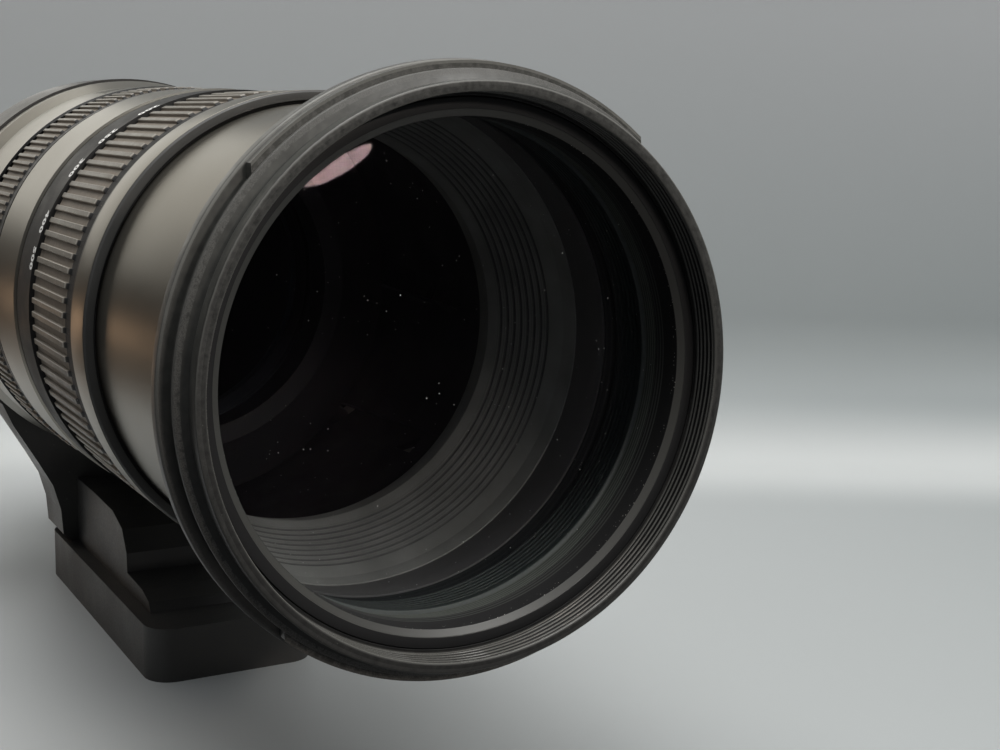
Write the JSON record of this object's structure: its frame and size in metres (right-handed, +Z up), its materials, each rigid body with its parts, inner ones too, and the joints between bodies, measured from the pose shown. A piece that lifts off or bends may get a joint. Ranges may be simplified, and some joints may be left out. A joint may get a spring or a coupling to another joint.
{
  "type": "super telephoto lens",
  "caption": "Super telephoto zoom lens with an extending front barrel, ribbed zoom and focus rings and a rotating tripod collar with a foot.",
  "frame": {"origin": "on the optical axis at the rear face of the mount flange, where the camera body starts", "axes": "+X along the optical axis towards the subject, +Z up with the tripod foot down, +Y to the left seen from behind the camera"},
  "size_m": [0.2586, 0.1205, 0.13],
  "materials": {
    "satin_barrel": "satin black anodised aluminium, warm sheen",
    "black_plastic": "fine matt black",
    "ring_body": "matt black lacquered ring",
    "grip_rubber": "ribbed matt rubber, dusty in the grooves",
    "felt": "short black felt",
    "plated_mount": "bright plated brass, fine turned lines",
    "screw_steel": "steel",
    "contact_gold": "gold plated",
    "inner_aluminium": "matt grey anodised",
    "cell_black": "matt black anodised",
    "baffle_grey": "matt grey, fine concentric grooves",
    "window_glass": "clear polished",
    "coated_glass": "multi-coated, violet and green glints",
    "scale_print": "black with plain white figures",
    "circuit_board": "green solder mask",
    "stator_bronze": "bronze",
    "rotor_steel": "turned steel",
    "iris_metal": "matt black film",
    "collar_paint": "matt black painted casting",
    "knob_black": "matt black moulded",
    "switch_grey": "satin dark grey"
  },
  "bodies": {
    "barrel": {"mount_bayonet": "plated_mount", "mount_screws": "screw_steel", "mount_baffle": "black_plastic", "contact_block": "black_plastic", "contact_pins": "contact_gold", "rear_barrel": "satin_barrel", "main_barrel": "satin_barrel", "window_barrel": "satin_barrel", "distance_window": "window_glass", "switch_panel": "black_plastic", "guide_barrel": "inner_aluminium", "main_board": "circuit_board", "motor_stator": "stator_bronze", "rear_cell": "cell_black", "rear_glass": "window_glass", "iris_base": "cell_black"},
    "zoom": {"zoom_ring": "ring_body", "zoom_grip": "grip_rubber", "nose_ring": "satin_barrel", "dust_seal": "felt", "cam_barrel": "inner_aluminium"},
    "front": {"inner_barrel": "satin_barrel", "front_rim": "black_plastic", "retaining_ring": "black_plastic", "front_element": "coated_glass", "second_element": "coated_glass", "front_cell": "cell_black", "light_baffle": "baffle_grey", "front_rollers": "screw_steel"},
    "variator": {"variator_cell": "cell_black", "variator_glass": "window_glass"},
    "compensator": {"compensator_cell": "cell_black", "compensator_glass": "window_glass"},
    "focus": {"focus_ring": "ring_body", "focus_grip": "grip_rubber", "distance_scale": "scale_print"},
    "focus_drive": {"motor_rotor": "rotor_steel", "focus_cam": "inner_aluminium"},
    "focus_group": {"focus_cell": "cell_black", "focus_glass": "window_glass"},
    "stabiliser_frame": {"stabiliser_carriage": "cell_black"},
    "stabiliser_lens": {"stabiliser_cell": "cell_black", "stabiliser_glass": "window_glass"},
    "iris_drive": {"iris_ring": "iris_metal"},
    "collar": {"collar_lower": "collar_paint", "foot_bush": "screw_steel", "hinge_pin": "screw_steel"},
    "collar_cap": {"collar_upper": "collar_paint"},
    "clamp": {"collar_screw": "screw_steel", "collar_knob": "knob_black"},
    "af_slider": {"af_switch": "switch_grey"},
    "stabiliser_slider": {"stabiliser_switch": "switch_grey"},
    "lock_slider": {"zoom_lock": "black_plastic"},
    "blade_1": {"iris_blade_1": "iris_metal"},
    "blade_2": {"iris_blade_2": "iris_metal"},
    "blade_3": {"iris_blade_3": "iris_metal"},
    "blade_4": {"iris_blade_4": "iris_metal"},
    "blade_5": {"iris_blade_5": "iris_metal"},
    "blade_6": {"iris_blade_6": "iris_metal"},
    "blade_7": {"iris_blade_7": "iris_metal"}
  },
  "joints": [
    {"name": "zoom_turn", "type": "hinge", "parent": "barrel", "child": "zoom", "pos_m": [0.15, 0, 0], "axis": [-1, 0, 0], "range_deg": [0, 76]},
    {"name": "zoom_extend", "type": "slide", "parent": "barrel", "child": "front", "axis": [1, 0, 0], "range_m": [0, 0.077]},
    {"name": "variator_slide", "type": "slide", "parent": "barrel", "child": "variator", "axis": [1, 0, 0], "range_m": [0, 0.034]},
    {"name": "compensator_slide", "type": "slide", "parent": "barrel", "child": "compensator", "axis": [1, 0, 0], "range_m": [0, 0.02]},
    {"name": "focus_turn", "type": "hinge", "parent": "barrel", "child": "focus", "pos_m": [0.105, 0, 0], "axis": [-1, 0, 0], "range_deg": [0, 110]},
    {"name": "focus_motor", "type": "hinge", "parent": "barrel", "child": "focus_drive", "pos_m": [0.0555, 0, 0], "axis": [-1, 0, 0], "range_deg": [0, 110]},
    {"name": "focus_slide", "type": "slide", "parent": "barrel", "child": "focus_group", "axis": [1, 0, 0], "range_m": [0, 0.009]},
    {"name": "stabiliser_shift", "type": "slide", "parent": "barrel", "child": "stabiliser_frame", "axis": [0, 1, 0], "range_m": [-0.0012, 0.0012]},
    {"name": "stabiliser_lift", "type": "slide", "parent": "stabiliser_frame", "child": "stabiliser_lens", "axis": [0, 0, 1], "range_m": [-0.0012, 0.0012]},
    {"name": "iris_turn", "type": "hinge", "parent": "barrel", "child": "iris_drive", "pos_m": [0.0895, 0, 0], "axis": [1, 0, 0], "range_deg": [0, 30]},
    {"name": "blade_1_turn", "type": "hinge", "parent": "barrel", "child": "blade_1", "pos_m": [0.087, 0.028, 0], "axis": [1, 0, 0], "range_deg": [0, 30]},
    {"name": "blade_2_turn", "type": "hinge", "parent": "barrel", "child": "blade_2", "pos_m": [0.087, 0.01746, 0.02189], "axis": [1, 0, 0], "range_deg": [0, 30]},
    {"name": "blade_3_turn", "type": "hinge", "parent": "barrel", "child": "blade_3", "pos_m": [0.087, -0.00623, 0.0273], "axis": [1, 0, 0], "range_deg": [0, 30]},
    {"name": "blade_4_turn", "type": "hinge", "parent": "barrel", "child": "blade_4", "pos_m": [0.087, -0.02523, 0.01215], "axis": [1, 0, 0], "range_deg": [0, 30]},
    {"name": "blade_5_turn", "type": "hinge", "parent": "barrel", "child": "blade_5", "pos_m": [0.087, -0.02523, -0.01215], "axis": [1, 0, 0], "range_deg": [0, 30]},
    {"name": "blade_6_turn", "type": "hinge", "parent": "barrel", "child": "blade_6", "pos_m": [0.087, -0.00623, -0.0273], "axis": [1, 0, 0], "range_deg": [0, 30]},
    {"name": "blade_7_turn", "type": "hinge", "parent": "barrel", "child": "blade_7", "pos_m": [0.087, 0.01746, -0.02189], "axis": [1, 0, 0], "range_deg": [0, 30]},
    {"name": "collar_turn", "type": "hinge", "parent": "barrel", "child": "collar", "pos_m": [0.058, 0, 0], "axis": [1, 0, 0], "continuous": true},
    {"name": "collar_open", "type": "hinge", "parent": "collar", "child": "collar_cap", "pos_m": [0.058, 0.0505, 0], "axis": [-1, 0, 0], "range_deg": [0, 70]},
    {"name": "knob_turn", "type": "hinge", "parent": "collar", "child": "clamp", "pos_m": [0.058, -0.0578, 0], "axis": [0, 0, -1], "range_deg": [0, 720]},
    {"name": "af_switch_slide", "type": "slide", "parent": "barrel", "child": "af_slider", "axis": [1, 0, 0], "range_m": [0, 0.003]},
    {"name": "stabiliser_switch_slide", "type": "slide", "parent": "barrel", "child": "stabiliser_slider", "axis": [1, 0, 0], "range_m": [0, 0.006]},
    {"name": "zoom_lock_slide", "type": "slide", "parent": "barrel", "child": "lock_slider", "axis": [1, 0, 0], "range_m": [0, 0.004]}
  ],
  "couplings": [
    {"joint": "zoom_extend", "follows": "zoom_turn", "m_per_rad": 0.05805},
    {"joint": "variator_slide", "follows": "zoom_turn", "m_per_rad": 0.025632},
    {"joint": "compensator_slide", "follows": "zoom_turn", "m_per_rad": 0.015078},
    {"joint": "focus_motor", "follows": "focus_turn", "ratio": 1},
    {"joint": "focus_slide", "follows": "focus_turn", "m_per_rad": 0.0046878},
    {"joint": "blade_1_turn", "follows": "iris_turn", "ratio": 1},
    {"joint": "blade_2_turn", "follows": "iris_turn", "ratio": 1},
    {"joint": "blade_3_turn", "follows": "iris_turn", "ratio": 1},
    {"joint": "blade_4_turn", "follows": "iris_turn", "ratio": 1},
    {"joint": "blade_5_turn", "follows": "iris_turn", "ratio": 1},
    {"joint": "blade_6_turn", "follows": "iris_turn", "ratio": 1},
    {"joint": "blade_7_turn", "follows": "iris_turn", "ratio": 1}
  ]
}
